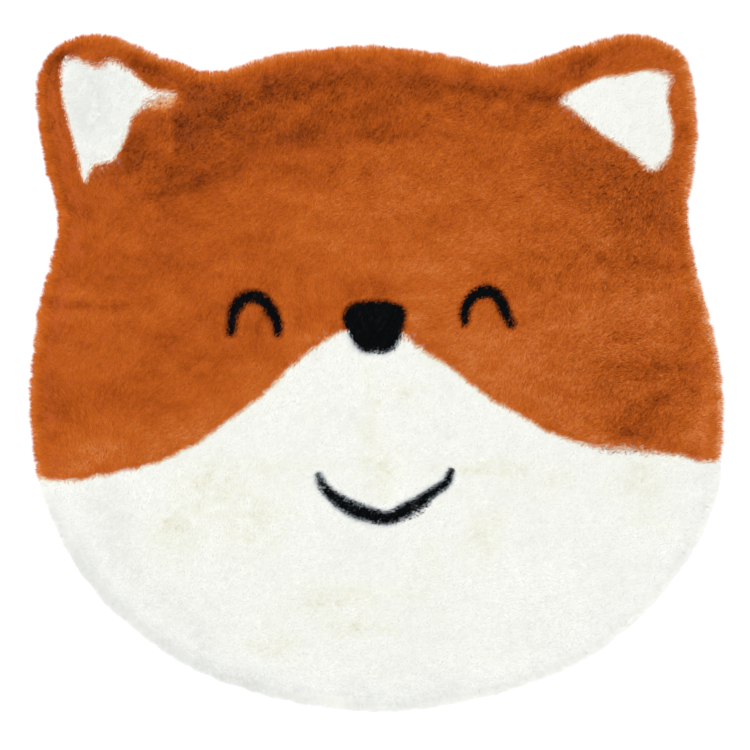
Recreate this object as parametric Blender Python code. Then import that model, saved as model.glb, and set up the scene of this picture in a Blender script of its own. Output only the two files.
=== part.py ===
"""Rug in the outline of a fox's head, lying flat.

One cut piece of plush fur fabric: a knitted ground and its pile are one body,
a low lumpy slab with a flat underside and small locks of pile round its rim.
The face is colour in the pile, so the solid has no raised features.

Units are metres. +X is to the right of the face, +Y towards the ears and +Z up.
The origin is under the centre of the rug, on the surface that it lies on.
"""
import math

import bmesh
import bpy
from mathutils import Vector, noise

MM = 0.001

# Driving sizes, in metres
RUG_WIDTH = 0.900
RUG_LENGTH = 0.880
PILE_TOP = 0.0175

# Lumps in the lie of the pile
LUMPS = (
    # height mm, spacing mm, layer of the noise
    (3.6, 110, 3.1),
    (1.8, 66, 7.7),
)

# Locks of pile round the rim
LOCKS = 240
LOCK_DEPTH = 0.0050
LOCK_LEAN = 0.0022
POINTS_PER_LOCK = 2
RIM_POINTS = LOCKS * POINTS_PER_LOCK

# The outline through the tips of the pile, clockwise from the top of the head
OUTLINE = (
    # feature, mm to the right of the centre, mm above the centre
    ("crown", -8, 424),
    ("crown_right", 85, 414),
    ("dip_right", 172, 397),
    ("ear_right_rise", 262, 424),
    ("ear_right_top", 335, 440),
    ("ear_right_corner", 396, 416),
    ("ear_right_side", 417, 345),
    ("ear_right_root", 414, 275),
    ("neck_right", 405, 215),
    ("temple_right", 414, 143),
    ("cheek_right", 441, 38),
    ("widest_right", 450, -60),
    ("jaw_right", 436, -178),
    ("jaw_right_low", 366, -292),
    ("chin_right", 262, -377),
    ("chin_right_low", 130, -423),
    ("chin", 2, -440),
    ("chin_left_low", -130, -423),
    ("chin_left", -255, -375),
    ("jaw_left_low", -364, -287),
    ("jaw_left", -433, -165),
    ("widest_left", -450, -30),
    ("cheek_left", -437, 92),
    ("neck_left", -413, 190),
    ("ear_left_root", -429, 262),
    ("ear_left_side", -443, 355),
    ("ear_left_corner", -427, 413),
    ("ear_left_top", -368, 440),
    ("ear_left_slope", -298, 421),
    ("dip_left", -217, 390),
    ("crown_left", -124, 414),
)

# Rings of the rim, from the underside's edge over the locks to the top. Inset is
# measured inwards from the outline, and every step-th rim point counts in the ring.
RIM_RINGS = (
    # inset mm, share of the height, share of the lock, step
    (8.0, 0.00, 0.0, 2),
    (0.0, 0.26, 1.0, 1),
    (3.5, 0.62, 0.6, 1),
    (11.0, 0.88, 0.0, 2),
    (24.0, 0.99, 0.0, 2),
)

# Rings of the top, which shrink evenly from the last rim ring to the middle
TOP_RINGS = 15
TOP_STEPS = (
    # share of the way out from the middle, step from there inwards
    (1.00, 4),
    (0.50, 8),
    (0.25, 16),
)
LEVELS = len(RIM_RINGS) + TOP_RINGS + 1

FUR_ORANGE = (0.470, 0.130, 0.025, 1.0)
FUR_ROUGHNESS = 0.95


def remove_scene_objects():
    """Empty the scene."""
    for old in list(bpy.data.objects):
        bpy.data.objects.remove(old, do_unlink=True)


def part_collection(name):
    """A new collection in the scene."""
    made = bpy.data.collections.new(name)
    bpy.context.scene.collection.children.link(made)
    return made


def plain_material(name, colour, roughness):
    """A Principled material of one colour."""
    made = bpy.data.materials.new(name)
    made.use_nodes = True
    shader = made.node_tree.nodes["Principled BSDF"]
    shader.inputs["Base Color"].default_value = colour
    shader.inputs["Roughness"].default_value = roughness
    shader.inputs["Metallic"].default_value = 0.0
    made.diffuse_color = colour
    return made


def spline_point(before, start, end, after, t):
    """A point of the Catmull-Rom curve between start and end."""
    rise = (end - before) * 0.5
    fall = (after - start) * 0.5
    t2 = t * t
    t3 = t2 * t
    return (
        start * (2 * t3 - 3 * t2 + 1)
        + rise * (t3 - 2 * t2 + t)
        + end * (3 * t2 - 2 * t3)
        + fall * (t3 - t2)
    )


def smooth_outline():
    """The outline as a dense closed run of points, from the table of features."""
    per_span = 40
    corners = [Vector((x * MM, y * MM)) for _, x, y in OUTLINE]
    count = len(corners)
    return [
        spline_point(
            corners[i - 1],
            corners[i],
            corners[(i + 1) % count],
            corners[(i + 2) % count],
            step / per_span,
        )
        for i in range(count)
        for step in range(per_span)
    ]


def even_points(dense, count):
    """The same closed run with its points evenly spaced."""
    spans = [(dense[(i + 1) % len(dense)] - p).length for i, p in enumerate(dense)]
    spacing = sum(spans) / count
    found = []
    walked = 0.0
    for i, span in enumerate(spans):
        while len(found) < count and len(found) * spacing <= walked + span:
            share = (len(found) * spacing - walked) / span
            found.append(dense[i].lerp(dense[(i + 1) % len(dense)], share))
        walked += span
    return found


def directions(points):
    """The way along the outline at each point, and the way out of it."""
    count = len(points)
    along = [(points[(i + 1) % count] - points[i - 1]).normalized() for i in range(count)]
    outward = [Vector((-way.y, way.x)) for way in along]
    return along, outward


def uneven(i, channel):
    """A smooth value from -1 to 1 that differs from lock to lock."""
    return max(-1.0, min(1.0, 2.0 * noise.noise(Vector((i * 0.71, channel * 9.3, 0.4)))))


def lock_shift(i, along, outward):
    """How far a rim point stands from the outline: hollows go in, tips lean aside."""
    if i % POINTS_PER_LOCK:
        return outward * -LOCK_DEPTH * (0.75 + 0.45 * uneven(i, 1))
    return along * LOCK_LEAN * uneven(i, 2) - outward * LOCK_DEPTH * 0.25 * (1.0 + uneven(i, 3))


def lump(place):
    """The pile's height above or below its mean at a place on the rug."""
    return sum(
        height * MM * noise.noise(Vector((place.x / (spacing * MM), place.y / (spacing * MM), layer)))
        for height, spacing, layer in LUMPS
    )


def rim_place(ring, turn, rim, along, outward):
    """The place of one point of a rim ring."""
    inset, height, lock, step = RIM_RINGS[ring]
    i = turn - turn % step
    flat = rim[i] - outward[i] * inset * MM + lock_shift(i, along[i], outward[i]) * lock
    rise = PILE_TOP * height + lump(flat) * height * height
    return Vector((flat.x, flat.y, rise))


def top_place(ring, turn, rim, outward):
    """The place of one point of a top ring."""
    reach = 1.0 - ring / (TOP_RINGS + 1)
    i = turn - turn % top_step(reach)
    flat = (rim[i] - outward[i] * RIM_RINGS[-1][0] * MM) * reach
    return Vector((flat.x, flat.y, PILE_TOP + lump(flat)))


def top_step(reach):
    """How many rim points lie between two points of a top ring."""
    return [step for share, step in TOP_STEPS if reach <= share][-1]


def rug_mesh():
    """A sphere whose parallels are moved onto the rings of the rug."""
    rim = even_points(smooth_outline(), RIM_POINTS)
    along, outward = directions(rim)
    bm = bmesh.new()
    bmesh.ops.create_uvsphere(bm, u_segments=RIM_POINTS, v_segments=LEVELS, radius=1.0)
    for vert in bm.verts:
        level = round(math.acos(max(-1.0, min(1.0, -vert.co.z))) / math.pi * LEVELS)
        turn = round(math.atan2(vert.co.y, vert.co.x) / math.tau * RIM_POINTS) % RIM_POINTS
        if level == 0:
            vert.co = Vector((0.0, 0.0, 0.0))
        elif level <= len(RIM_RINGS):
            vert.co = rim_place(level - 1, turn, rim, along, outward)
        else:
            vert.co = top_place(level - len(RIM_RINGS), turn, rim, outward)
    bmesh.ops.remove_doubles(bm, verts=bm.verts, dist=0.00001)
    fit_to_size(bm)
    bmesh.ops.triangulate(bm, faces=bm.faces)
    bmesh.ops.recalc_face_normals(bm, faces=bm.faces)
    mesh = bpy.data.meshes.new("fur_rug")
    bm.to_mesh(mesh)
    bm.free()
    mesh.shade_smooth()
    return mesh


def fit_to_size(bm):
    """Centre the body over the origin and bring it to the rug's width and length."""
    low = Vector([min(vert.co[axis] for vert in bm.verts) for axis in range(2)])
    high = Vector([max(vert.co[axis] for vert in bm.verts) for axis in range(2)])
    middle = (low + high) / 2
    for vert in bm.verts:
        vert.co.x = (vert.co.x - middle.x) * RUG_WIDTH / (high.x - low.x)
        vert.co.y = (vert.co.y - middle.y) * RUG_LENGTH / (high.y - low.y)


def fur_rug(collection):
    """The rug as one object."""
    rug = bpy.data.objects.new("fur_rug", rug_mesh())
    rug.data.materials.append(plain_material("plush_fur", FUR_ORANGE, FUR_ROUGHNESS))
    collection.objects.link(rug)
    return rug


def main():
    remove_scene_objects()
    fur_rug(part_collection("fox_head_rug"))


main()
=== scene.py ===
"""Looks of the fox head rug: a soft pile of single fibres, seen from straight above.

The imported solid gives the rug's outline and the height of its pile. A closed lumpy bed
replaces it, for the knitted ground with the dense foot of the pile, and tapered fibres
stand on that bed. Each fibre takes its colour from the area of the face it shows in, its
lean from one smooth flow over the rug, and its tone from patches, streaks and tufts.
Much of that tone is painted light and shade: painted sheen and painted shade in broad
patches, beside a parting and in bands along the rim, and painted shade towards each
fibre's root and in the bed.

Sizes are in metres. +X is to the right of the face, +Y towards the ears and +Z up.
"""

import math

import bpy
import numpy as np
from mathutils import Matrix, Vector
from mathutils.bvhtree import BVHTree


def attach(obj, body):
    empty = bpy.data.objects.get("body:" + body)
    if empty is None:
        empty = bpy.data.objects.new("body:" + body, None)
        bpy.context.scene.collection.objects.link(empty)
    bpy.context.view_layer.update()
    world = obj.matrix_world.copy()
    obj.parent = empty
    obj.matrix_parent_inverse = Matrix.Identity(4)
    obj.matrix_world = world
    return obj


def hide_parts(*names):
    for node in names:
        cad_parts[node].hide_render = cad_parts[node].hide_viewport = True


MM = 0.001
TINY = 1e-12
NODE = "fur_rug"
AREAS = ("orange", "white", "black")
ORANGE, WHITE, BLACK = range(len(AREAS))

# Charts hold one value for each place on the rug, and are read between their cells
CHART_HALF = 0.480
CHART_CELL = 0.0015
AXIS = np.arange(-CHART_HALF, CHART_HALF + CHART_CELL / 2, CHART_CELL)
CHART_X, CHART_Y = np.meshgrid(AXIS, AXIS)
PAST_LAST_CELL = 1.001

# How the outline and the height are read from the solid
TURNS = 1440
RIM_LEVEL = (0.0036, 0.0056)
RIM_WINDOW = 13
HALF_LOCK = 0.0024
CAST_FROM = 1.0
CAST_SPACING = 0.008
CAST_INSET = 0.028

# How curves and patches are drawn
CURVE_STEPS = 8
PATCH_MARGIN = 0.03
PATCH_FALLOFF = 0.8

# A layer of noise spans this many halves of a chart, with this many points to spare
NOISE_SPAN = 2.2
NOISE_SPARE = 6

# Layers of noise: strength, metres between its points, seed, and sideways scale if not 1
MUZZLE_WAVES = (0.0014, 0.009, 74)
LIE_WAVES = ((0.55, 0.150, 11), (0.45, 0.060, 12), (0.30, 0.022, 13))
RIM_WAVES = (0.002, 0.018, 14)
PATCH_BEND_X = (0.007, 0.024, 71)
PATCH_BEND_Y = (0.005, 0.024, 72)
PARTING_WAVES = (0.005, 0.011, 73)
MOTTLE_WAVES = ((0.06, 0.030, 21, 0.5), (0.09, 0.013, 22, 0.6))
CREAM_WAVES = (0.5, 0.009, 23)

# Seeds of the other random draws
SEEDS = {
    "specks": 24,
    "tufts": 31,
    "bed": 41,
    "streaks": 51,
    "even_roots": 61,
    "even_fibres": 62,
    "rim_roots": 63,
    "rim_fibres": 64,
}

# The bed: the ground with the dense foot of the pile, in colours from 0 to 255: each area's colour
# darkened by painted shade of the deep pile
BED_INSET = 0.0085
BED_FOOT_INSET = 0.0006
BED_ROUND = 0.018
BED_AROUND = 400
BED_RINGS = 50
BED_RING_POWER = 1.35
BED_LOWEST = 0.0012
BED_TUFT = 0.0006
BED_TUFT_SPACING = 0.006
BED_TUFT_FROM = (0.0, 0.004)
BED_FACES_DOWN = -0.9
BED_COLOURS_IN_SHADE = {"orange": (176, 80, 24), "white": (228, 229, 225), "black": (6, 8, 10)}
BED_BORDERS = {"white": 0.0015, "black": 0.001}
# how much darker the bed is where the pile is speckled: painted shade in its gaps
BED_GAP_PAINTED_SHADE = 0.40

# The lie of the pile: how it turns outward towards the rim, and where it spreads apart
LIE_DEGREES = 48
TURNED_SHARE = 0.94
TURNED_BAND = (0.005, 0.038)
PARTED_BAND = (12.0, 80.0)
STREAK_STEPS = 4

# Where fibres stand
FIBRE_SPACING = 0.00088
ROOTS_HALF = 0.46
ROOT_INSIDE_BED = 0.0005
RIM_FIBRES = 70000
RIM_ROOTS_FROM = 0.0008
RIM_ROOTS_WIDE = 0.008
RIM_ROOT_INSIDE_BED = 0.0003
RIM_ROOT_DEEPEST = 0.018
MOST_IN_A_PIECE = 190000

# Distances inside the outline over which the shape of the fibres changes
RIM_BAND = (0.010, 0.027)
OUTERMOST_BAND = (0.0095, 0.0130)
FRILL_BAND = (0.0100, 0.0170)
FLAT_BAND = (0.018, 0.048)

# Charts that are read at a fibre's root, and further out where it shows
READ_AT_ROOT = ("inset", "height", "black", "lean_x", "lean_y", "parted", "speckled", "crisp")
TONES = tuple(name + "_tone" for name in AREAS)
READ_WHERE_SHOWN = ("white", "black", "mixed", "speckled", "cream", *TONES)

# Tufts: their table in halves of a chart, their size, and the pull to their middle
TUFT_SPAN = 2.4
TUFT_SPACING = 0.0038
TUFT_PULL = 0.10
SPECKLED_PULL = 0.14

# How fibres lean and how far they reach sideways
TUFT_TURN = 0.9
STRAY = 0.32
STRAY_WHERE_PARTED = 1.1
FIBRE_REACH = 0.0060
REACH_SHARE = 0.82
REACH_BY_TUFT = 0.30
REACH_SPREAD = 0.15
LEAST_REACH = 0.0015
SHORTER_BY_BLACK = 0.30
BY_BLACK_BAND = (0.010, 0.002)

# Pointed locks along the rim
LEAST_RIM = 0.02
LOCK_DEPTH = 0.0042
LOCK_OVER = 0.0053
LOCK_POWER = 1.5
LOCK_SLANT = 0.75
LOCK_SPREAD = 0.0005
LOCK_GATHER = 0.55

# How fibres fray at a border: plain, and how much more where the chart says mixed
SHOWN_AT = 0.70
MOST_FRAY = 1.4
WHITE_FRAY = (0.0020, 0.006)
BLACK_FRAY = (0.0018, 0.005)
BLACK_FROM = 0.0002

# Heights of roots and tips
PILE_OVER_BED = 0.0020
ROOT_SUNK = 0.0006
TOP_SHARE = 0.93
TOP_BY_TUFT = 0.07
TOP_SPREAD = 0.0006
FLAT_SHARE = 0.25
FULL_SHARE = 0.75
DROOP_SHARE = 0.55
DROOP_SPREAD = 0.005
LOWEST_TIP = 0.0008
BLACK_OVER = 0.0010

# Width and shading of fibres
FIBRE_HALF_WIDTH = 0.00050
WIDTH_SPREAD = (0.75, 1.25)
WIDER_IN_FRILL = 0.9
WIDER_BY_BLACK = 0.8
ROLL_SPREAD = 0.25
SOFT_NORMALS = 0.82
RIM_TILT = 0.15

# Where the two corners at the root and the tip lie on the map: along it, and off the tone
MAP_ALONG = (0.02, 0.02, 0.98)
MAP_OFF_TONE = (-0.006, 0.006, 0.0)

# Depths in the white or the black area over which a tone changes, below 0 outside it
BESIDE_WHITE = (-0.0050, 0.0)
BESIDE_ORANGE = (0.0045, 0.0)
BESIDE_BLACK = (-0.0075, -0.0010)
HALO = (-0.0105, 0.0005)
HALO_POWER = 1.8

# Distances inside the outline over which a tone changes
PALE_RIM = (0.004, 0.014)
PALE_EDGE = (0.0010, 0.0075)
# the white pile greys with painted shade over this distance from the rim
WIDE_RIM = (0.010, 0.040)
# The next two bound a band of painted shade just inside the rim, where the pile curves over the
# edge
SHOULDER_SHADE_RISE = (0.008, 0.020)
SHOULDER_SHADE_FALL = (0.030, 0.050)

# The rim's edge gets a painted highlight towards the upper right, the side the light falls on, by
# the sum of both coordinates
RIM_LIT_SIDE = (-0.25, 0.35)

# How much each thing adds to a tone or takes from it
ORANGE_TONE = {
    "base": 0.52,
    "streak": 0.06,
    "rim": 0.10,
    "edge": 0.10,
    # painted highlight on the rim's edge on its lit side
    "edge_lit_side": 0.12,
    "beside_white": 0.32,
    "less_where_mixed": 0.8,
    "beside_black": 0.34,
    # painted shade where the pile spreads apart and shows its depth
    "parted": 0.02,
    # painted shade in the band just inside the rim
    "shoulder": 0.05,
    "full_pile": 0.030,
}
WHITE_TONE = {
    "base": 0.50,
    "cream_share": 0.8,
    "most_cream": 0.22,
    "mottle": 0.3,
    "streak": 0.03,
    # painted shade greying the white pile towards the rim
    "wide_rim": 0.045,
    # painted shade in the band just inside the rim
    "shoulder": 0.035,
    # painted shade where the pile spreads apart and shows its depth
    "parted": 0.030,
    "halo": 0.58,
    "beside_orange": 0.36,
}
BLACK_TONE = {"base": 0.35, "streak": 0.3}

# The tone of single fibres
SPECK_SPACING = 0.0019
SPECK_BAND = (0.20, 0.70)
# how much small specks darken the orange fibres in speckled places: painted shade of the gaps
SPECK_PAINTED_SHADE = 0.33
SPECK_CREAM = 1.2
MIXED_TONE = 0.40
PLAIN_SPREAD = 0.012
ORANGE_SPREAD = 0.080
CRISP_SPREAD = 0.120
MOST_GRAIN = 1.3
TONE_LIMITS = (0.02, 0.98)

# The peach end of each ramp is kept for places near a border, the rim or a mixed place
WHITE_MOST = 0.88
WHITE_PEACH_WITHIN = 0.006
ORANGE_MOST = 0.80
ORANGE_PEACH = {"white": -0.006, "mixed": 0.15, "inset": 0.014}

# The boundary of the white lower face, from left to right
MUZZLE_EDGE = (
    # mm to the right of the centre, mm above the centre
    (-462, -138),
    (-444, -138),
    (-400, -141),
    (-337, -130),
    (-283, -117),
    (-230, -91),
    (-190, -61),
    (-152, -33),
    (-114, 4),
    (-74, 36),
    (-44, 52),
    (0, 58),
    (37, 46),
    (61, 28),
    (101, 2),
    (145, -33),
    (186, -55),
    (226, -78),
    (281, -96),
    (343, -102),
    (395, -108),
    (427, -116),
    (462, -113),
)

# White patches inside the ears, each a smooth closed outline
EAR_PATCHES = {
    # mm to the right, mm above
    "left": (
        ("top_outer", -403, 409),
        ("top_notch", -364, 396),
        ("top", -345, 404),
        ("shoulder", -318, 390),
        ("inner_shoulder", -294, 369),
        ("inner_tip", -263, 362),
        ("under_tip", -290, 352),
        ("inner_side", -315, 333),
        ("low_side", -325, 306),
        ("low_inner", -342, 276),
        ("low", -366, 269),
        ("low_tip", -380, 248),
        ("outer_low", -389, 285),
        ("outer_middle", -398, 315),
        ("outer", -409, 370),
    ),
    "right": (
        ("inner_tip", 241, 355),
        ("upper", 286, 380),
        ("top_dip", 322, 386),
        ("top", 354, 392),
        ("top_outer", 380, 383),
        ("outer_notch", 378, 355),
        ("outer", 385, 317),
        ("outer_low", 381, 284),
        ("low_tip", 358, 262),
        ("low_inner", 330, 285),
        ("inner", 290, 312),
        ("inner_upper", 260, 337),
    ),
}

# The nose, an outline of the same kind
NOSE = (
    ("top_left", -31, 87),
    ("top", -2, 92),
    ("top_right", 29, 87),
    ("right", 38, 75),
    ("right_low", 30, 48),
    ("bottom_right", 19, 30),
    ("bottom", 0, 26.5),
    ("bottom_left", -20, 30),
    ("left_low", -36, 53),
    ("left", -43, 72),
)

# Strokes of the closed eyes and the mouth, each along its middle line
STROKES = {
    "left_eye": (
        # mm to the right, mm above, half of the width in mm
        (-189, 52, 4.0),
        (-187, 70, 5.6),
        (-180, 88, 6.8),
        (-165, 98, 7.0),
        (-148, 94, 7.0),
        (-136, 79, 6.6),
        (-129, 64, 6.0),
        (-128, 52, 4.4),
    ),
    "right_eye": (
        (115, 64, 3.8),
        (115, 78, 5.6),
        (121, 93, 6.2),
        (132, 102, 6.8),
        (145, 105, 7.0),
        (156, 99, 7.0),
        (164, 86, 6.2),
        (170, 72, 5.4),
        (175, 62, 4.2),
    ),
    "mouth": (
        (-75, -135, 2.4),
        (-67, -151, 4.5),
        (-51, -166, 6.2),
        (-28, -179, 8.1),
        (-6, -186, 7.8),
        (14, -190, 7.0),
        (31, -183, 7.1),
        (54, -170, 6.8),
        (78, -153, 4.3),
        (91, -143, 3.9),
        (97, -129, 2.7),
    ),
}

# Broad lighter and darker places in the orange pile: painted sheen where the pile lies flat and
# painted shade where it parts or turns away
ORANGE_SHEEN_AND_SHADE = (
    # mm right, mm above, half width mm, half height mm, tilt in degrees, tone
    ("beside_left_ear", -234, 326, 34, 46, -8, -0.17),
    ("crown_left", -152, 360, 54, 20, 14, -0.20),
    ("under_left_ear_tip", -276, 350, 20, 12, 8, 0.62),
    ("crown_middle_left", -62, 380, 54, 17, 5, -0.20),
    ("crown_middle_right", 52, 380, 54, 16, -4, -0.18),
    ("crown_right", 150, 366, 66, 10, -3, -0.15),
    ("crown_wide", -10, 345, 210, 40, 0, -0.07),
    ("beside_right_ear", 214, 360, 28, 18, 0, -0.13),
    ("over_right_ear_tip", 262, 384, 22, 9, 20, -0.12),
    ("right_ear_slope", 276, 404, 32, 10, 20, -0.26),
    ("left_ear_slope", -300, 396, 32, 11, -26, -0.22),
    ("left_ear_top", -408, 414, 34, 12, 20, -0.24),
    ("left_ear_outer", -430, 320, 27, 130, 0, -0.14),
    ("under_left_ear", -320, 285, 30, 16, 50, -0.26),
    ("second_band", -25, 307, 100, 9, 2, -0.12),
    ("third_band", -245, 245, 56, 15, 22, -0.19),
    ("forehead_streak", 130, 285, 60, 9, -35, -0.08),
    ("upper_left", -150, 298, 130, 36, 8, -0.13),
    ("under_right_ear", 325, 238, 72, 40, -25, -0.17),
    ("right_side_high", 330, 185, 50, 12, -8, -0.09),
    ("right_side_low", 345, 140, 64, 12, -6, -0.11),
    ("right_edge", 412, 60, 12, 28, 0, -0.12),
    ("right_side_pale", 340, 92, 60, 18, 0, 0.09),
    ("right_cheek_line", 360, 4, 80, 7, -2, -0.16),
    ("right_cheek_streak", 365, -40, 28, 10, 35, -0.18),
    ("right_cheek_edge", 412, -28, 13, 13, 0, -0.14),
    ("right_cheek_low", 322, -76, 28, 11, -8, -0.24),
    ("right_corner", 424, -76, 24, 34, 0, 0.22),
    ("right_rim", 430, 60, 16, 140, 0, 0.13),
    ("right_jaw_hairs", 318, -110, 46, 8, -4, -0.18),
    ("right_jaw", 296, -84, 66, 14, -10, 0.10),
    ("right_low", 215, -25, 74, 36, -30, 0.12),
    ("beside_nose_right", 130, 36, 80, 50, -35, 0.16),
    ("brow", 90, 138, 80, 36, 30, 0.13),
    ("right_middle", 260, 75, 90, 60, 0, 0.10),
    ("forehead_right", 80, 235, 80, 40, -10, 0.11),
    ("forehead_left", -40, 168, 64, 50, 20, 0.14),
    ("left_side", -290, 100, 150, 190, 0, -0.035),
    ("left_line_high", -385, 119, 50, 4, 0, -0.07),
    ("left_line_pale", -385, 103, 60, 6, 0, 0.08),
    ("left_line_dark", -388, 88, 52, 4, 0, -0.16),
    ("left_line_low", -372, 75, 64, 6, 0, 0.11),
    ("left_band", -300, -32, 130, 16, -3, -0.06),
    ("left_low", -345, -104, 100, 30, 12, 0.24),
    ("left_low_right", -190, -38, 80, 36, 35, 0.15),
    ("left_edge", -430, -20, 18, 80, 0, -0.12),
    ("left_edge_high", -420, 178, 18, 16, 0, -0.08),
    ("over_nose", -2, 110, 42, 16, 0, -0.18),
    ("under_left_eye", -152, 60, 15, 22, 0, -0.22),
    ("forehead_left_high", -150, 257, 28, 16, 0, -0.10),
    ("right_of_nose", 58, 62, 13, 15, 0, 0.15),
    ("over_left_muzzle", -102, 26, 22, 13, 42, 0.13),
)

# A break in the lie of the pile along an upright line beside the left ear patch, in mm
PARTING = {
    "x": -261,
    "starts": (268, 288),
    "ends": (366, 378),
    "width": 16,
    "step": 3.5,
    # the tones to its left and to its right: painted sheen on the left, painted shade on the right
    "tones": (0.20, -0.07),
}

# Where the orange pile is speckled with small gaps, pulled open between tufts and darkened with
# painted shade
SPECKLED = (
    # mm right, mm above, half width mm, half height mm, tilt in degrees, share
    ("beside_left_ear", -225, 335, 40, 50, 0, 0.9),
    ("crown_left", -120, 355, 110, 34, 8, 0.6),
    ("crown_right", 120, 355, 120, 34, -6, 0.6),
    ("under_left_ear", -300, 270, 45, 36, 30, 0.6),
    ("under_right_ear", 330, 235, 85, 55, -30, 1.0),
    ("forehead", 40, 270, 160, 50, 0, 0.35),
    ("right_cheek", 340, -30, 90, 50, -8, 0.6),
)

# Where single fibres stand out more
CRISP = (
    # mm right, mm above, half width mm, half height mm, tilt in degrees, share
    ("right_side", 320, 80, 150, 260, 0, 1.0),
    ("top_band", -80, 340, 200, 60, 0, 0.2),
    ("forehead", 20, 220, 160, 90, 0, 0.4),
)

# Where fibres of two areas mix more than elsewhere
MIXED = (
    # mm right, mm above, half width mm, half height mm, tilt in degrees, share
    ("left_ear_inner_tip", -285, 352, 20, 11, 10, 1.0),
    ("right_ear_inner_tip", 248, 355, 10, 8, 0, 0.5),
    ("right_jaw_edge", 320, -102, 50, 15, 0, 0.8),
    ("left_ear_top", -350, 402, 34, 9, 0, 0.5),
    ("left_ear_corner", -404, 405, 14, 12, 0, 0.35),
    ("right_ear_corner", 379, 383, 14, 12, 0, 0.7),
    ("right_ear_low", 366, 268, 22, 14, 0, 0.4),
    ("under_mouth_right", 60, -184, 30, 10, 32, 1.0),
    ("over_mouth_left", -40, -163, 34, 8, -28, 0.35),
    ("nose_low_right", 28, 38, 12, 12, 0, 0.7),
)

# Places in the white pile that are slightly cream, and places greyed with painted shade where the
# tone is below 0
WHITE_PATCHES = (
    # mm right, mm above, half width mm, half height mm, tilt in degrees, tone
    ("bridge", -8, -55, 12, 52, 0, 0.15),
    ("bridge_right", 38, -28, 28, 14, 0, 0.15),
    ("above_mouth", 8, -132, 18, 32, 0, 0.15),
    ("left_jaw_high", -214, -148, 32, 28, 0, 0.15),
    ("left_jaw_low", -268, -205, 30, 40, 0, 0.16),
    ("left_jaw", -155, -188, 46, 40, 0, 0.13),
    ("left_jaw_edge", -130, -122, 60, 10, 0, 0.10),
    ("beside_mouth", 145, -124, 44, 9, 4, 0.20),
    ("right_jaw", 215, -140, 34, 16, 0, 0.14),
    ("right_jaw_low", 140, -205, 20, 34, -10, 0.17),
    ("right_side", 345, -145, 38, 26, 30, 0.14),
    ("right_side_low", 362, -200, 20, 14, 0, 0.12),
    ("chin_high", -55, -296, 62, 20, 0, 0.15),
    ("chin", -28, -332, 36, 9, 0, 0.18),
    ("chin_left", -145, -355, 32, 14, 0, 0.18),
    ("chin_low", -60, -425, 16, 10, 0, 0.14),
    ("right_of_chin", 62, -262, 26, 42, -20, 0.08),
    ("left_side_grey", -370, -235, 70, 90, -40, -0.05),
    ("lower_left_grey", -250, -350, 120, 40, -35, -0.06),
    ("bottom_grey", -20, -412, 150, 30, 0, -0.03),
    ("left_ear", -365, 340, 60, 80, 0, -0.12),
    ("right_ear", 340, 330, 70, 80, 0, -0.02),
)

# The fibres of each area: ramp of tones, ramp of painted shade darkening each fibre towards its
# root, and gloss
FIBRE_LOOKS = {
    # each ramp holds places from 0 to 1 with the colour or grey there
    "orange": (
        (
            (0.0, 96, 38, 8),
            (0.25, 162, 71, 14),
            (0.5, 200, 96, 26),
            (0.75, 214, 116, 43),
            (1.0, 238, 176, 126),
        ),
        ((0.0, 0.75), (0.5, 0.95), (1.0, 1.0)),
        0.06,
    ),
    "white": (
        (
            # the low blue-grey end serves the painted shade of the white pile and the grey beside
            # the black strokes
            (0.0, 136, 146, 154),
            (0.25, 221, 223, 221),
            (0.5, 246, 247, 242),
            (0.72, 240, 240, 226),
            (0.88, 226, 220, 198),
            (1.0, 244, 224, 204),
        ),
        ((0.0, 0.95), (0.5, 1.0), (1.0, 1.0)),
        0.1,
    ),
    "black": (
        ((0.0, 5, 8, 10), (0.6, 11, 15, 17), (1.0, 40, 36, 34)),
        ((0.0, 0.8), (1.0, 1.0)),
        0.03,
    ),
}
FIBRE_ROUGHNESS = 0.8

# The photo's framing, at the height where its scale holds, and the camera for it
PHOTO_PIXELS = 750
METRES_A_PIXEL = 0.900 / 691
PHOTO_CENTRE = (-1.5 * METRES_A_PIXEL, -3.0 * METRES_A_PIXEL)
PHOTO_HEIGHT = 0.010
LENS_MM = 100.0
SENSOR_MM = 36.0
CAMERA_FAR = 20.0

# Lights: name, place, size and watts
LIGHTS = (
    ("key", (-1.1, 1.2, 3.0), 1.8, 47.0),
    ("fill", (1.6, -1.2, 3.0), 2.4, 27.0),
)
SKY_STRENGTH = 0.84
FLOOR_SIZE = 60.0
FLOOR_BELOW = 0.0002
FLOOR_GREY = 0.98


# Helpers


def linear(red, green, blue):
    """A screen colour from 0 to 255 as Blender's linear colour."""
    parts = (c / 255 for c in (red, green, blue))
    return (*(c / 12.92 if c <= 0.04045 else ((c + 0.055) / 1.055) ** 2.4 for c in parts), 1.0)


def smoothstep(low, high, x):
    """0 at low, 1 at high and smooth between, also where high is the smaller one."""
    t = np.clip((x - low) / (high - low), 0.0, 1.0)
    return t * t * (3.0 - 2.0 * t)


def read_between(table, gx, gy, smooth=False):
    """Values of a square table between its cells, where gx and gy count cells."""
    last = len(table) - PAST_LAST_CELL
    gx = np.clip(gx, 0.0, last)
    gy = np.clip(gy, 0.0, last)
    i = gx.astype(int)
    j = gy.astype(int)
    fx = gx - i
    fy = gy - j
    if smooth:
        fx = smoothstep(0.0, 1.0, fx)
        fy = smoothstep(0.0, 1.0, fy)
    near = table[j, i] * (1 - fx) + table[j, i + 1] * fx
    far = table[j + 1, i] * (1 - fx) + table[j + 1, i + 1] * fx
    return near * (1 - fy) + far * fy


def look(chart, x, y):
    """Reads a chart at places on the rug."""
    return read_between(chart, (x + CHART_HALF) / CHART_CELL, (y + CHART_HALF) / CHART_CELL)


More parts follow.
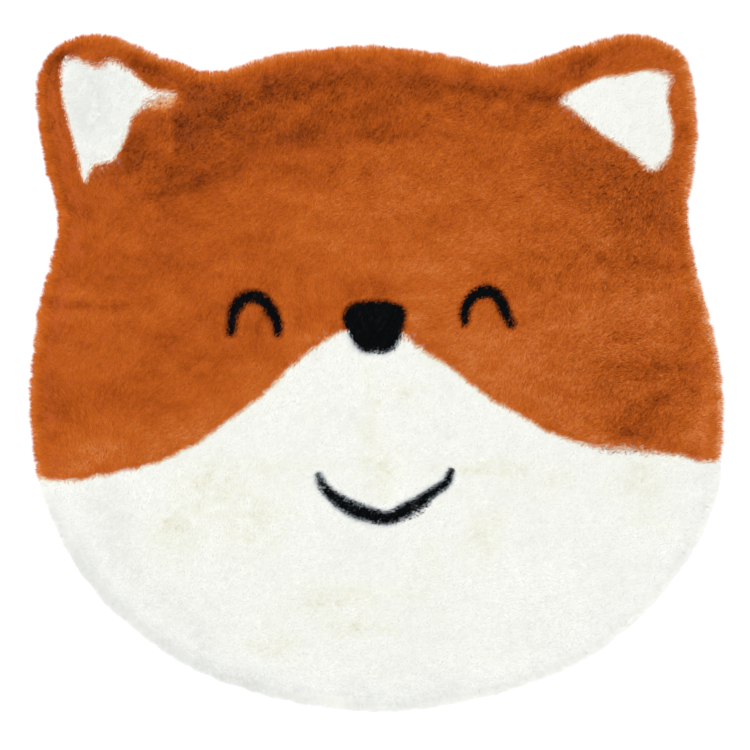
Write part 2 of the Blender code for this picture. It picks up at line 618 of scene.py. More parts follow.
def noise(x, y, spacing, seed):
    """Smooth noise from -1 to 1, with its hills about two spacings apart."""
    cells = int(NOISE_SPAN * CHART_HALF / spacing) + NOISE_SPARE
    lattice = np.random.default_rng(seed).uniform(-1.0, 1.0, (cells, cells))
    return read_between(lattice, x / spacing + cells / 2, y / spacing + cells / 2, smooth=True)


def waves(strength, spacing, seed, sideways=1.0):
    """A chart of one layer of noise."""
    return strength * noise(CHART_X * sideways, CHART_Y, spacing, seed)


def curve_through(points, closed):
    """A smooth run of points through the given rows, as a Catmull-Rom curve."""
    rows = np.array(points, float)
    if closed:
        rows = np.vstack([rows[-1], rows, rows[0], rows[1]])
    else:
        rows = np.vstack([2 * rows[0] - rows[1], rows, 2 * rows[-1] - rows[-2]])
    t = np.linspace(0.0, 1.0, CURVE_STEPS, endpoint=False)[:, None]
    spans = []
    for before, start, end, after in zip(rows, rows[1:], rows[2:], rows[3:]):
        rise = (end - before) / 2
        fall = (after - start) / 2
        spans.append(
            start * (2 * t**3 - 3 * t**2 + 1)
            + rise * (t**3 - 2 * t**2 + t)
            + end * (3 * t**2 - 2 * t**3)
            + fall * (t**3 - t**2)
        )
    run = np.vstack(spans)
    return run if closed else np.vstack([run, rows[-2]])


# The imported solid: outline and pile height


def mesh_points(mesh):
    """A mesh's points as an array."""
    co = np.zeros(len(mesh.vertices) * 3)
    mesh.vertices.foreach_get("co", co)
    return co.reshape(-1, 3)


def rim_reach(solid):
    """How far the rug reaches from its middle in each of TURNS directions."""
    co = mesh_points(solid.data)
    rim = co[(co[:, 2] > RIM_LEVEL[0]) & (co[:, 2] < RIM_LEVEL[1])]
    turn = np.arctan2(rim[:, 1], rim[:, 0])
    order = np.argsort(turn)
    even = np.linspace(-math.pi, math.pi, TURNS, endpoint=False)
    reach = np.interp(even, turn[order], np.hypot(rim[:, 0], rim[:, 1])[order], period=math.tau)
    window = np.hanning(RIM_WINDOW)
    side = RIM_WINDOW // 2
    ring = np.concatenate([reach[-side:], reach, reach[:side]])
    return np.convolve(ring, window / window.sum(), "valid") + HALF_LOCK


def reach_at(reach, turn):
    """The rug's reach in any direction."""
    even = np.linspace(-math.pi, math.pi, TURNS, endpoint=False)
    return np.interp(turn, even, reach, period=math.tau)


def inset_chart(reach):
    """How far each place lies inside the outline."""
    turn = np.arctan2(CHART_Y, CHART_X)
    slope = np.gradient(np.concatenate([reach[-2:], reach, reach[:2]]))[2:-2] * TURNS / math.tau
    far = reach_at(reach, turn)
    oblique = np.sqrt(1.0 + (reach_at(slope, turn) / far) ** 2)
    return (far - np.hypot(CHART_X, CHART_Y)) / oblique


def height_chart(solid, reach):
    """The height of the pile's top, which the rim takes from the places just inside it."""
    tree = BVHTree.FromObject(solid, bpy.context.evaluated_depsgraph_get())
    coarse = np.arange(-CHART_HALF, CHART_HALF + CAST_SPACING / 2, CAST_SPACING)
    high = np.zeros((len(coarse), len(coarse)))
    down = Vector((0.0, 0.0, -1.0))
    for j, y in enumerate(coarse):
        for i, x in enumerate(coarse):
            far = float(reach_at(reach, math.atan2(y, x))) - CAST_INSET
            pull = min(1.0, far / max(math.hypot(x, y), MM))
            high[j, i] = tree.ray_cast(Vector((x * pull, y * pull, CAST_FROM)), down)[0].z
    at = np.arange(len(coarse))
    fine = (AXIS + CHART_HALF) / CAST_SPACING
    across = np.array([np.interp(fine, at, row) for row in high])
    return np.array([np.interp(fine, at, column) for column in across.T]).T


# Colour areas of the face, each a chart of how deep a place lies inside it


def near_segment(x, y, start, end):
    """Where along a segment each place is nearest, from 0 to 1, and how far off it lies."""
    run_x, run_y = end - start
    length_squared = max(run_x**2 + run_y**2, TINY)
    along = np.clip(((x - start[0]) * run_x + (y - start[1]) * run_y) / length_squared, 0, 1)
    return along, np.hypot(x - start[0] - along * run_x, y - start[1] - along * run_y)


def patch_depth(rows):
    """Signed depth inside a closed outline given by named rows in mm, near that outline's box."""
    line = curve_through([(x * MM, y * MM) for _, x, y in rows], closed=True)
    low = line.min(0) - PATCH_MARGIN
    high = line.max(0) + PATCH_MARGIN
    near = (CHART_X > low[0]) & (CHART_X < high[0]) & (CHART_Y > low[1]) & (CHART_Y < high[1])
    x = CHART_X[near]
    y = CHART_Y[near]
    far = np.full(x.shape, 1.0)
    inside = np.zeros(x.shape, bool)
    for start, end in zip(line, np.roll(line, -1, axis=0)):
        far = np.minimum(far, near_segment(x, y, start, end)[1])
        run_x, run_y = end - start
        crosses = (start[1] > y) != (end[1] > y)
        inside ^= crosses & (x < start[0] + (y - start[1]) * run_x / (run_y or TINY))
    depth = np.full(CHART_X.shape, -PATCH_MARGIN)
    depth[near] = np.where(inside, far, -far)
    return depth


def stroke_depth(rows):
    """Depth inside a stroke of varying width."""
    line = curve_through(np.array(rows) * MM, closed=False)
    depth = np.full(CHART_X.shape, -1.0)
    for start, end in zip(line, line[1:]):
        along, off = near_segment(CHART_X, CHART_Y, start[:2], end[:2])
        depth = np.maximum(depth, start[2] + along * (end[2] - start[2]) - off)
    return depth


def muzzle_depth():
    """Depth below the boundary of the white lower face."""
    edge = curve_through(np.array(MUZZLE_EDGE) * MM, closed=False)
    height = np.interp(AXIS, edge[:, 0], edge[:, 1])
    steep = np.sqrt(1.0 + np.gradient(height, CHART_CELL) ** 2)
    return (height[None, :] - CHART_Y) / steep[None, :]


def face_charts():
    """The depth charts of the white and of the black areas."""
    white = muzzle_depth() + waves(*MUZZLE_WAVES)
    for rows in EAR_PATCHES.values():
        white = np.maximum(white, patch_depth(rows))
    black = patch_depth(NOSE)
    for rows in STROKES.values():
        black = np.maximum(black, stroke_depth(rows))
    return white, black


# Lie of the pile and its tone


def lie_charts(inset):
    """The way the pile leans, which turns outward towards the rim, and where it parts."""
    angle = np.full(CHART_X.shape, math.radians(LIE_DEGREES))
    for layer in LIE_WAVES:
        angle += waves(*layer)
    slope_y, slope_x = np.gradient(-inset)
    turn = (np.arctan2(slope_y, slope_x) - angle + math.pi) % math.tau - math.pi
    angle += TURNED_SHARE * turn * (1.0 - smoothstep(*TURNED_BAND, inset + waves(*RIM_WAVES)))
    lean_x = np.cos(angle)
    lean_y = np.sin(angle)
    apart = np.gradient(lean_x, CHART_CELL, axis=1) + np.gradient(lean_y, CHART_CELL, axis=0)
    for axis in (0, 1):
        apart = (np.roll(apart, 2, axis) + apart + np.roll(apart, -2, axis)) / 3.0
    return lean_x, lean_y, smoothstep(*PARTED_BAND, apart)


def streak_chart(lean_x, lean_y):
    """Fine noise drawn out along the lie of the pile, mostly from -1 to 1."""
    grain = np.random.default_rng(SEEDS["streaks"]).uniform(-1.0, 1.0, CHART_X.shape)
    total = grain.copy()
    for way in (1.0, -1.0):
        x = CHART_X.copy()
        y = CHART_Y.copy()
        for _ in range(STREAK_STEPS):
            x += way * look(lean_x, x, y) * CHART_CELL
            y += way * look(lean_y, x, y) * CHART_CELL
            total += look(grain, x, y)
    return total / (total.std() * 2.0)


def patches(rows):
    """The sum of broad soft patches, with their edges bent by noise."""
    bent_x = CHART_X + waves(*PATCH_BEND_X)
    bent_y = CHART_Y + waves(*PATCH_BEND_Y)
    total = np.zeros(CHART_X.shape)
    for _, x, y, half_width, half_height, tilt, tone in rows:
        turn = math.radians(tilt)
        dx = bent_x - x * MM
        dy = bent_y - y * MM
        along = (dx * math.cos(turn) + dy * math.sin(turn)) / (half_width * MM)
        across = (dy * math.cos(turn) - dx * math.sin(turn)) / (half_height * MM)
        total += tone * np.exp(-PATCH_FALLOFF * (along**2 + across**2))
    return total


def parting():
    """Painted sheen and painted shade beside the break in the lie of the pile: lighter to its
    left, darker to its right.
    """
    side = CHART_X - PARTING["x"] * MM + waves(*PARTING_WAVES)
    height = CHART_Y / MM
    ends = smoothstep(*PARTING["starts"], height) * (1.0 - smoothstep(*PARTING["ends"], height))
    fade = np.exp(-((side / (PARTING["width"] * MM)) ** 2))
    left, right = PARTING["tones"]
    half = PARTING["step"] * MM
    return ends * fade * (left + (right - left) * smoothstep(-half, half, side))


def tone_charts(charts, streak):
    """The tones of the orange, white and black pile, mostly from 0 to 1, and where it is cream."""
    inset = charts["inset"]
    mottle = sum(waves(*layer) for layer in MOTTLE_WAVES)
    # the shoulder is a band of painted shade just inside the rim
    shoulder = smoothstep(*SHOULDER_SHADE_RISE, inset) * (1.0 - smoothstep(*SHOULDER_SHADE_FALL, inset))

    by = ORANGE_TONE
    # painted highlight on the rim's edge towards the upper right
    lit_side = smoothstep(*RIM_LIT_SIDE, CHART_X + CHART_Y)
    rim = by["rim"] * (1.0 - smoothstep(*PALE_RIM, inset))
    rim += (by["edge"] + by["edge_lit_side"] * lit_side) * (1.0 - smoothstep(*PALE_EDGE, inset))
    unmixed = 1.0 - by["less_where_mixed"] * charts["mixed"]
    # the broad orange patches are painted sheen and painted shade of the lie of the pile
    orange = by["base"] + patches(ORANGE_SHEEN_AND_SHADE) + parting() + mottle + by["streak"] * streak
    orange += (
        rim
        + by["beside_white"] * smoothstep(*BESIDE_WHITE, charts["white"]) * unmixed
        - by["beside_black"] * smoothstep(*BESIDE_BLACK, charts["black"])
        - by["parted"] * charts["parted"]
    )
    orange -= by["shoulder"] * shoulder + by["full_pile"] * smoothstep(*FLAT_BAND, inset)

    by = WHITE_TONE
    # the white patches: cream above 0, painted shade below 0
    soft = patches(WHITE_PATCHES)
    cream = np.maximum(soft, 0.0) * (by["cream_share"] + waves(*CREAM_WAVES))
    halo = smoothstep(*HALO, charts["black"]) ** HALO_POWER * (charts["white"] > 0)
    white = (
        by["base"]
        + np.minimum(cream, by["most_cream"])
        + np.minimum(soft, 0.0)
        + by["mottle"] * mottle
        + by["streak"] * streak
    )
    white -= (
        by["wide_rim"] * (1.0 - smoothstep(*WIDE_RIM, inset))
        + by["shoulder"] * shoulder
        + by["parted"] * charts["parted"]
        + by["halo"] * halo
        - by["beside_orange"] * smoothstep(*BESIDE_ORANGE, charts["white"])
    )

    black = BLACK_TONE["base"] + BLACK_TONE["streak"] * streak
    return dict(zip(TONES, (orange, white, black))) | {"cream": cream}


def share_chart(rows):
    """Broad soft patches as a share from 0 to 1."""
    return np.clip(patches(rows), 0.0, 1.0)


def all_charts(solid, reach):
    """Every chart of the rug by name."""
    inset = inset_chart(reach)
    white, black = face_charts()
    lean_x, lean_y, parted = lie_charts(inset)
    charts = {
        "inset": inset,
        "height": height_chart(solid, reach),
        "white": white,
        "black": black,
        "lean_x": lean_x,
        "lean_y": lean_y,
        "parted": parted,
        "crisp": share_chart(CRISP),
        "speckled": share_chart(SPECKLED),
        "mixed": share_chart(MIXED),
    }
    return charts | tone_charts(charts, streak_chart(lean_x, lean_y))


# Fibres


def tufts_of(x, y):
    """For each root its offset to the middle of its tuft, and three values of that tuft."""
    cells = int(TUFT_SPAN * CHART_HALF / TUFT_SPACING)
    table = np.random.default_rng(SEEDS["tufts"]).uniform(0.0, 1.0, (cells, cells, 5))
    gx = x / TUFT_SPACING + cells / 2
    gy = y / TUFT_SPACING + cells / 2
    best = np.full(x.shape, np.inf)
    found = np.zeros((len(x), 5))
    for step_y in (-1, 0, 1):
        for step_x in (-1, 0, 1):
            i = gx.astype(int) + step_x
            j = gy.astype(int) + step_y
            row = table[j, i]
            dx = i + row[:, 0] - gx
            dy = j + row[:, 1] - gy
            far = dx * dx + dy * dy
            nearer = far < best
            best = np.where(nearer, far, best)
            row = np.column_stack([dx * TUFT_SPACING, dy * TUFT_SPACING, row[:, 2:]])
            found[nearer] = row[nearer]
    return found[:, :2], found[:, 2:]


def even_roots(inset):
    """Roots spread evenly over the bed."""
    rng = np.random.default_rng(SEEDS["even_roots"])
    line = np.arange(-ROOTS_HALF, ROOTS_HALF, FIBRE_SPACING)
    x, y = (part.ravel() for part in np.meshgrid(line, line))
    x = x + rng.uniform(-0.5, 0.5, x.shape) * FIBRE_SPACING
    y = y + rng.uniform(-0.5, 0.5, y.shape) * FIBRE_SPACING
    inside = look(inset, x, y) > BED_INSET + ROOT_INSIDE_BED
    return x[inside], y[inside]


def rim_roots(reach, inset):
    """Roots close together along the rim."""
    rng = np.random.default_rng(SEEDS["rim_roots"])
    turn = rng.uniform(-math.pi, math.pi, RIM_FIBRES * 2)
    inward = rng.uniform(0.0, RIM_ROOTS_WIDE, turn.shape)
    far = reach_at(reach, turn) - BED_INSET - RIM_ROOTS_FROM - inward
    x = far * np.cos(turn)
    y = far * np.sin(turn)
    deep = look(inset, x, y)
    stands = (deep > BED_INSET + RIM_ROOT_INSIDE_BED) & (deep < RIM_ROOT_DEEPEST)
    keep = np.flatnonzero(stands)[:RIM_FIBRES]
    return x[keep], y[keep]


def bed_height(height, inset):
    """The bed's height for the pile's height there and the distance inside the outline."""
    share = np.clip((inset - BED_INSET) / BED_ROUND, 0.0, 1.0)
    return (height - PILE_OVER_BED) * np.sqrt(1.0 - (1.0 - share) ** 2)


def sideways_reach(here, rim, tuft, aside, near_black, rng):
    """How far each fibre reaches sideways: at the rim up to the edge of its pointed lock."""
    count = len(rim)
    deep = here["inset"]
    varied = REACH_SHARE + REACH_BY_TUFT * tuft[:, 1] + rng.normal(0.0, REACH_SPREAD, count)
    reach = FIBRE_REACH * varied
    lock = LOCK_DEPTH * tuft[:, 2] ** LOCK_POWER + LOCK_SLANT * np.abs(aside) - LOCK_OVER
    to_edge = deep - lock + rng.normal(0.0, LOCK_SPREAD, count)
    outermost = 1.0 - smoothstep(*OUTERMOST_BAND, deep)
    in_lock = np.minimum(np.maximum(reach, outermost * to_edge), to_edge)
    reach = np.where(rim > LEAST_RIM, in_lock, reach)
    return np.maximum(reach * (1.0 - SHORTER_BY_BLACK * near_black), LEAST_REACH)


def areas_shown(shown, fray):
    """The number in AREAS that each fibre shows in, with borders frayed fibre by fibre."""
    mixed = shown["mixed"]
    over_white = (WHITE_FRAY[0] + WHITE_FRAY[1] * mixed) * fray[0]
    area = np.where(shown["white"] + over_white > 0, WHITE, ORANGE)
    over_black = BLACK_FRAY[0] * fray[1] + BLACK_FRAY[1] * mixed * np.maximum(fray[1], 0.0)
    return np.where(shown["black"] + over_black > BLACK_FROM, BLACK, area)


def heights(here, rim, tuft, area, rng):
    """The heights of each fibre's root and tip, which droops at the rim."""
    count = len(rim)
    root = bed_height(here["height"], here["inset"])
    top = here["height"] * (TOP_SHARE + TOP_BY_TUFT * tuft[:, 1])
    top = top + rng.normal(0.0, TOP_SPREAD, count)
    top = root + (top - root) * (FLAT_SHARE + FULL_SHARE * smoothstep(*FLAT_BAND, here["inset"]))
    droop = np.maximum(root * DROOP_SHARE + rng.uniform(0.0, DROOP_SPREAD, count), LOWEST_TIP)
    return root, top * (1 - rim) + droop * rim + BLACK_OVER * (area == BLACK)


def fibre_tones(here, shown, x, y, area, tuft, fray, rng):
    """The tone of each fibre on the ramp of its area."""
    tones = [shown[name] for name in TONES]
    specks = smoothstep(*SPECK_BAND, noise(x, y, SPECK_SPACING, SEEDS["specks"]))
    # painted shade: orange fibres darker in small specks, for the shade of the gaps
    tones[ORANGE] -= SPECK_PAINTED_SHADE * specks * shown["speckled"]
    blend = shown["mixed"] * (MIXED_TONE * fray[1] - MIXED_TONE)
    tones[ORANGE] += blend * (shown["white"] > 0.0)
    tones[WHITE] += SPECK_CREAM * specks * shown["cream"]
    most = np.where(shown["white"] < WHITE_PEACH_WITHIN, 1.0, WHITE_MOST)
    tones[WHITE] = np.minimum(tones[WHITE], most)

    orange_spread = ORANGE_SPREAD + CRISP_SPREAD * here["crisp"]
    spread = np.where(area == ORANGE, orange_spread, PLAIN_SPREAD)
    grain = np.minimum(rng.normal(0.0, 1.0, len(x)), MOST_GRAIN)
    tone = np.choose(area, tones) + spread * (tuft[:, 2] - 0.5 + grain)
    may_be_peach = (
        (shown["white"] > ORANGE_PEACH["white"])
        | (shown["mixed"] > ORANGE_PEACH["mixed"])
        | (here["inset"] < ORANGE_PEACH["inset"])
    )
    held = (area == ORANGE) & ~may_be_peach
    return np.clip(np.where(held, np.minimum(tone, ORANGE_MOST), tone), *TONE_LIMITS)


def grow(x, y, charts, seed):
    """The fibres at the given roots: two corners at the root and a tip, normal, tone and area."""
    rng = np.random.default_rng(seed)
    count = len(x)
    offset, tuft = tufts_of(x, y)
    here = {name: look(charts[name], x, y) for name in READ_AT_ROOT}
    rim = 1.0 - smoothstep(*RIM_BAND, here["inset"])
    near_black = smoothstep(*BY_BLACK_BAND, np.abs(here["black"]))

    turn = np.arctan2(here["lean_y"], here["lean_x"])
    turn += (tuft[:, 0] - 0.5) * TUFT_TURN
    turn += rng.normal(0.0, 1.0, count) * (STRAY + STRAY_WHERE_PARTED * here["parted"])
    dir_x = np.cos(turn)
    dir_y = np.sin(turn)
    aside = offset[:, 1] * dir_x - offset[:, 0] * dir_y
    reach = sideways_reach(here, rim, tuft, aside, near_black, rng)

    show_x = x + SHOWN_AT * reach * dir_x
    show_y = y + SHOWN_AT * reach * dir_y
    shown = {name: look(charts[name], show_x, show_y) for name in READ_WHERE_SHOWN}
    fray = np.clip(rng.normal(0.0, 1.0, (2, count)), -MOST_FRAY, MOST_FRAY)
    area = areas_shown(shown, fray)

    root_z, tip_z = heights(here, rim, tuft, area, rng)
    pull = (TUFT_PULL + SPECKLED_PULL * here["speckled"]) * (1 - rim)
    gather = LOCK_GATHER * rim * aside
    tip_x = x + reach * dir_x + pull * offset[:, 0] - gather * dir_y
    tip_y = y + reach * dir_y + pull * offset[:, 1] + gather * dir_x
    tip = np.column_stack([tip_x, tip_y, tip_z])
    root = np.column_stack([x, y, root_z - ROOT_SUNK])

    run = tip - root
    run /= np.linalg.norm(run, axis=1)[:, None]
    side = np.column_stack([-dir_y, dir_x, np.zeros(count)])
    side -= run * (side * run).sum(1)[:, None]
    side /= np.linalg.norm(side, axis=1)[:, None]
    roll = rng.normal(0.0, ROLL_SPREAD, count)[:, None]
    across = side * np.cos(roll) + np.cross(run, side) * np.sin(roll)
    face = np.cross(run, across)
    face *= np.sign(face[:, 2])[:, None]
    rest = np.column_stack([RIM_TILT * rim * dir_x, RIM_TILT * rim * dir_y, np.ones(count)])
    normal = SOFT_NORMALS * rest + (1.0 - SOFT_NORMALS) * face
    frill = 1.0 - smoothstep(*FRILL_BAND, here["inset"])
    wider = 1.0 + WIDER_IN_FRILL * frill + WIDER_BY_BLACK * near_black
    across *= (FIBRE_HALF_WIDTH * rng.uniform(*WIDTH_SPREAD, count) * wider)[:, None]
    return {
        "points": np.stack([root + across, root - across, tip], axis=1),
        "normal": normal / np.linalg.norm(normal, axis=1)[:, None],
        "tone": fibre_tones(here, shown, show_x, show_y, area, tuft, fray, rng),
        "area": area,
    }


def linked(name, data):
    """A new object in the scene."""
    made = bpy.data.objects.new(name, data)
    bpy.context.scene.collection.objects.link(made)
    return made


def fibre_object(name, points, normal, tone, material):
    """One mesh of many fibres, each a narrow triangle from its root to its tip."""
    count = len(points)
    mesh = bpy.data.meshes.new(name)
    mesh.vertices.add(count * 3)
    mesh.vertices.foreach_set("co", points.astype(np.float32).ravel())
    mesh.loops.add(count * 3)
    mesh.loops.foreach_set("vertex_index", np.arange(count * 3, dtype=np.int32))
    mesh.polygons.add(count)
    mesh.polygons.foreach_set("loop_start", np.arange(0, count * 3, 3, dtype=np.int32))
    mesh.update(calc_edges=True)
    along = np.tile(MAP_ALONG, (count, 1))
    places = np.stack([along, tone[:, None] + np.array(MAP_OFF_TONE)], axis=2)
    layer = mesh.uv_layers.new(name="OFBake")
    layer.data.foreach_set("uv", places.astype(np.float32).ravel())
    mesh.shade_smooth()
    mesh.normals_split_custom_set_from_vertices(np.repeat(normal, 3, axis=0))
    mesh.materials.append(material)
    return linked(name, mesh)


def fibre_pieces(grown, materials):
    """The fibres of each area in as many pieces as its number asks for."""
    made = []
    for number, name in enumerate(AREAS):
        mine = np.flatnonzero(grown["area"] == number)
        mine = mine[np.argsort(grown["points"][mine, 0, 1], kind="stable")]
        parts = max(1, math.ceil(len(mine) / MOST_IN_A_PIECE))
        for part, chosen in enumerate(np.array_split(mine, parts)):
            fibres = (grown[key][chosen] for key in ("points", "normal", "tone"))
            made.append(fibre_object(f"fur_{name}_{part + 1}", *fibres, materials[name]))
    return made


# The bed


def bed_object(reach, charts, materials):
    """The closed bed: a flat underside, a rounded rim and a lumpy top."""
    turn = np.linspace(-math.pi, math.pi, BED_AROUND, endpoint=False)
    outer = reach_at(reach, turn) - BED_INSET
    rings = [(outer - BED_FOOT_INSET, np.zeros(BED_AROUND))]
    for inward in np.linspace(0.0, 1.0, BED_RINGS)[:-1] ** BED_RING_POWER:
        ring = outer * (1.0 - inward)
        x = ring * np.cos(turn)
        y = ring * np.sin(turn)
        z = bed_height(look(charts["height"], x, y), look(charts["inset"], x, y))
        tuft = noise(x, y, BED_TUFT_SPACING, SEEDS["bed"])
        z = z + BED_TUFT * tuft * smoothstep(*BED_TUFT_FROM, z)
        rings.append((ring, np.maximum(z, BED_LOWEST)))
    co = [np.column_stack([ring * np.cos(turn), ring * np.sin(turn), z]) for ring, z in rings]
    middle = bed_height(look(charts["height"], np.zeros(1), np.zeros(1)), np.ones(1))[0]
    co = np.vstack(co + [[(0.0, 0.0, 0.0), (0.0, 0.0, middle)]])
    faces = []
    foot = len(rings) * BED_AROUND
    top = foot + 1
    last = foot - BED_AROUND
    for i in range(BED_AROUND):
        j = (i + 1) % BED_AROUND
        faces.append((foot, j, i))
        faces.append((last + i, last + j, top))
        for k in range(0, last, BED_AROUND):
            faces.append((k + i, k + j, k + BED_AROUND + j, k + BED_AROUND + i))
    mesh = bpy.data.meshes.new("fur_bed")
    mesh.from_pydata(co.tolist(), [], faces)
    mesh.shade_smooth()
    paint_bed(mesh, charts)
    mesh.materials.append(materials["bed"])
    mesh.materials.append(materials["ground"])
    for face in mesh.polygons:
        if face.normal.z < BED_FACES_DOWN:
            face.material_index = 1
    return linked("fur_bed", mesh)


def paint_bed(mesh, charts):
    """The bed's colour at each point: that of the area there in painted shade, darker still where
    it is speckled, with painted shade in the gaps.
    """
    x, y, _ = mesh_points(mesh).T
    # painted shade: the bed darker where speckled gaps open onto it
    shade = 1.0 - BED_GAP_PAINTED_SHADE * look(charts["speckled"], x, y)[:, None]
    colour = np.array(linear(*BED_COLOURS_IN_SHADE["orange"])) * shade
    for name, half in BED_BORDERS.items():
        share = smoothstep(-half, half, look(charts[name], x, y))[:, None]
        colour = colour * (1 - share) + np.array(linear(*BED_COLOURS_IN_SHADE[name])) * share
    layer = mesh.color_attributes.new("pile_colour_in_shade", "FLOAT_COLOR", "POINT")
    layer.data.foreach_set("color", colour.ravel())


# Materials


def new_material(name, roughness, gloss=0.25):
    """A material with its nodes, its links and its shader."""
    made = bpy.data.materials.new(name)
    made.use_nodes = True
    nodes = made.node_tree.nodes
    shader = nodes["Principled BSDF"]
    shader.inputs["Roughness"].default_value = roughness
    shader.inputs["Specular IOR Level"].default_value = gloss
    return made, nodes, made.node_tree.links, shader


def ramp(nodes, stops):
    """A colour ramp with the given places and colours."""
    node = nodes.new("ShaderNodeValToRGB")
    elements = node.color_ramp.elements
    while len(elements) < len(stops):
        elements.new(0.5)
    for element, (place, colour) in zip(elements, stops):
        element.position = place
        element.color = colour
    return node


def grey_ramp(nodes, stops):
    """A ramp of greys."""
    return ramp(nodes, [(place, (grey, grey, grey, 1.0)) for place, grey in stops])


def shaded(nodes, links, colour, shade, shader):
    """The colour times the shade becomes the shader's base colour."""
    mix = nodes.new("ShaderNodeMix")
    mix.data_type = "RGBA"
    mix.blend_type = "MULTIPLY"
    mix.inputs["Factor"].default_value = 1.0
    links.new(colour, mix.inputs["A"])
    links.new(shade, mix.inputs["B"])
    links.new(mix.outputs["Result"], shader.inputs["Base Color"])


def bumped(nodes, links, height, shader, strength, distance):
    """The height becomes a bump of the shader's surface."""
    bump = nodes.new("ShaderNodeBump")
    bump.inputs["Strength"].default_value = strength
    bump.inputs["Distance"].default_value = distance
    links.new(height, bump.inputs["Height"])
    links.new(bump.outputs["Normal"], shader.inputs["Normal"])


def fibre_material(name, tones, painted_root_shade, gloss):
    """Colour by the fibre's tone across the map, darkened with painted shade towards the root
    along it.
    """
    made, nodes, links, shader = new_material(name, FIBRE_ROUGHNESS, gloss)
    places = nodes.new("ShaderNodeUVMap")
    places.uv_map = "OFBake"
    split = nodes.new("ShaderNodeSeparateXYZ")
    links.new(places.outputs["UV"], split.inputs["Vector"])
    tone = ramp(nodes, [(place, linear(*colour)) for place, *colour in tones])
    # painted shade along the fibre, darkest at the root deep in the pile
    shade = grey_ramp(nodes, painted_root_shade)
    links.new(split.outputs["Y"], tone.inputs["Fac"])
    links.new(split.outputs["X"], shade.inputs["Fac"])
    shaded(nodes, links, tone.outputs["Color"], shade.outputs["Color"], shader)
    return made


def bed_material():
    """The dense foot of the pile: its area's colour in painted shade, set at its points, broken up
    by fine grain.
    """
    made, nodes, links, shader = new_material("fur_bed", roughness=0.9)
    colour = nodes.new("ShaderNodeVertexColor")
    colour.layer_name = "pile_colour_in_shade"
    place = nodes.new("ShaderNodeTexCoord")
    grain = nodes.new("ShaderNodeTexNoise")
    grain.inputs["Scale"].default_value = 420.0
    grain.inputs["Detail"].default_value = 3.0
    links.new(place.outputs["Object"], grain.inputs["Vector"])
    shade = grey_ramp(nodes, [(0.3, 0.8), (0.7, 1.0)])
    links.new(grain.outputs["Fac"], shade.inputs["Fac"])
    shaded(nodes, links, colour.outputs["Color"], shade.outputs["Color"], shader)
    bumped(nodes, links, grain.outputs["Fac"], shader, strength=0.5, distance=0.001)
    return made


def ground_material():
    """The underside: a pale knitted ground with fine ribs of stitches."""
    made, nodes, links, shader = new_material("knitted_ground", roughness=0.85)
    place = nodes.new("ShaderNodeTexCoord")
    both = nodes.new("ShaderNodeMath")
    both.operation = "MULTIPLY"
    for slot, (across, scale) in enumerate((("X", 160.0), ("Y", 110.0))):
        bands = nodes.new("ShaderNodeTexWave")
        bands.bands_direction = across
        bands.inputs["Scale"].default_value = scale
        bands.inputs["Distortion"].default_value = 0.6
        links.new(place.outputs["Object"], bands.inputs["Vector"])
        links.new(bands.outputs["Fac"], both.inputs[slot])
    tone = ramp(nodes, [(0.0, linear(196, 190, 178)), (1.0, linear(228, 223, 212))])
    links.new(both.outputs["Value"], tone.inputs["Fac"])
    links.new(tone.outputs["Color"], shader.inputs["Base Color"])
    bumped(nodes, links, both.outputs["Value"], shader, strength=0.6, distance=0.0006)
    return made


def all_materials():
    """Every material of the rug by name."""
    made = {name: fibre_material("fur_" + name, *FIBRE_LOOKS[name]) for name in AREAS}
    return made | {"bed": bed_material(), "ground": ground_material()}


# Stage


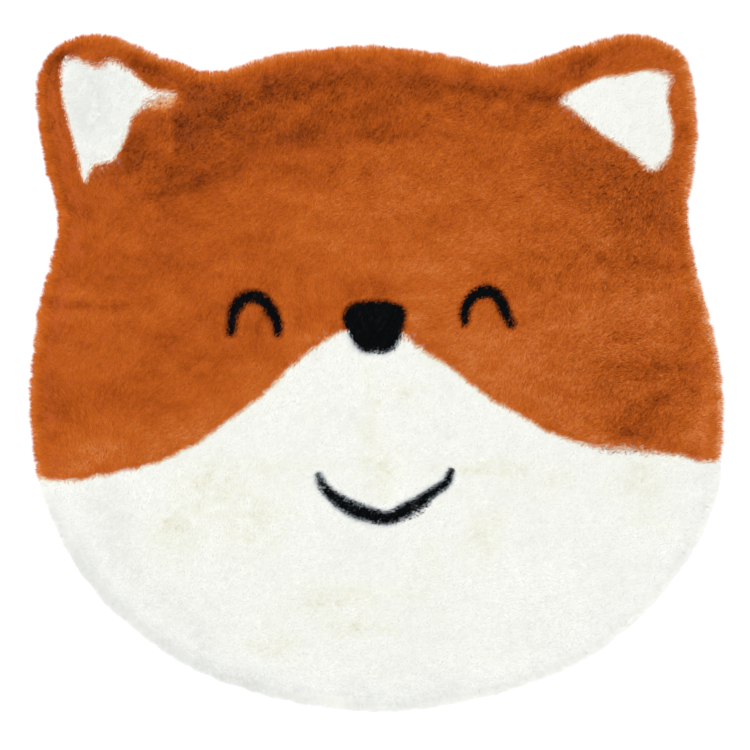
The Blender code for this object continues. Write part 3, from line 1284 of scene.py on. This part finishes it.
def camera():
    """Straight above, at the photo's framing."""
    made = linked("camera", bpy.data.cameras.new("camera"))
    made.data.lens = LENS_MM
    made.data.sensor_width = SENSOR_MM
    made.data.clip_end = CAMERA_FAR
    wide = PHOTO_PIXELS * METRES_A_PIXEL
    made.location = (*PHOTO_CENTRE, PHOTO_HEIGHT + wide * LENS_MM / SENSOR_MM)
    bpy.context.scene.camera = made


def area_light(name, place, size, watts):
    """A soft square light that faces the rug."""
    made = linked(name, bpy.data.lights.new(name, "AREA"))
    made.data.size = size
    made.data.energy = watts
    made.location = place
    made.rotation_euler = (-Vector(place)).to_track_quat("-Z", "Y").to_euler()


def floor():
    """A large pale floor just under the rug."""
    bpy.ops.mesh.primitive_plane_add(size=FLOOR_SIZE, location=(0.0, 0.0, -FLOOR_BELOW))
    made = bpy.context.object
    made.name = "floor"
    material, _, _, shader = new_material("floor", roughness=0.9, gloss=0.0)
    shader.inputs["Base Color"].default_value = (FLOOR_GREY, FLOOR_GREY, FLOOR_GREY, 1.0)
    made.data.materials.append(material)


def studio():
    """Floor, lights and an even pale sky."""
    floor()
    for light in LIGHTS:
        area_light(*light)
    world = bpy.data.worlds.new("studio")
    world.use_nodes = True
    sky = world.node_tree.nodes["Background"]
    sky.inputs["Color"].default_value = (1.0, 1.0, 1.0, 1.0)
    sky.inputs["Strength"].default_value = SKY_STRENGTH
    bpy.context.scene.world = world
    bpy.context.scene.view_settings.view_transform = "Standard"


# The scene

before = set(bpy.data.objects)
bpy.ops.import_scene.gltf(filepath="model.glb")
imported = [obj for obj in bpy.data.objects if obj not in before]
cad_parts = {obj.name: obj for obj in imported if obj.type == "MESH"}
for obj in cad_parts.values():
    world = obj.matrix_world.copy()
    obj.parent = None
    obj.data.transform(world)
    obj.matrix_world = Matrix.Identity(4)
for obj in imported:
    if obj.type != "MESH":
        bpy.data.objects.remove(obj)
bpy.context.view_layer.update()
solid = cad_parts[NODE]
camera()
studio()

reach = rim_reach(solid)
charts = all_charts(solid, reach)
materials = all_materials()
bed = bed_object(reach, charts, materials)
inner = grow(*even_roots(charts["inset"]), charts, SEEDS["even_fibres"])
edge = grow(*rim_roots(reach, charts["inset"]), charts, SEEDS["rim_fibres"])
fur = fibre_pieces({key: np.concatenate([inner[key], edge[key]]) for key in inner}, materials)
for piece in (bed, *fur):
    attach(piece, "root")
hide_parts(NODE)
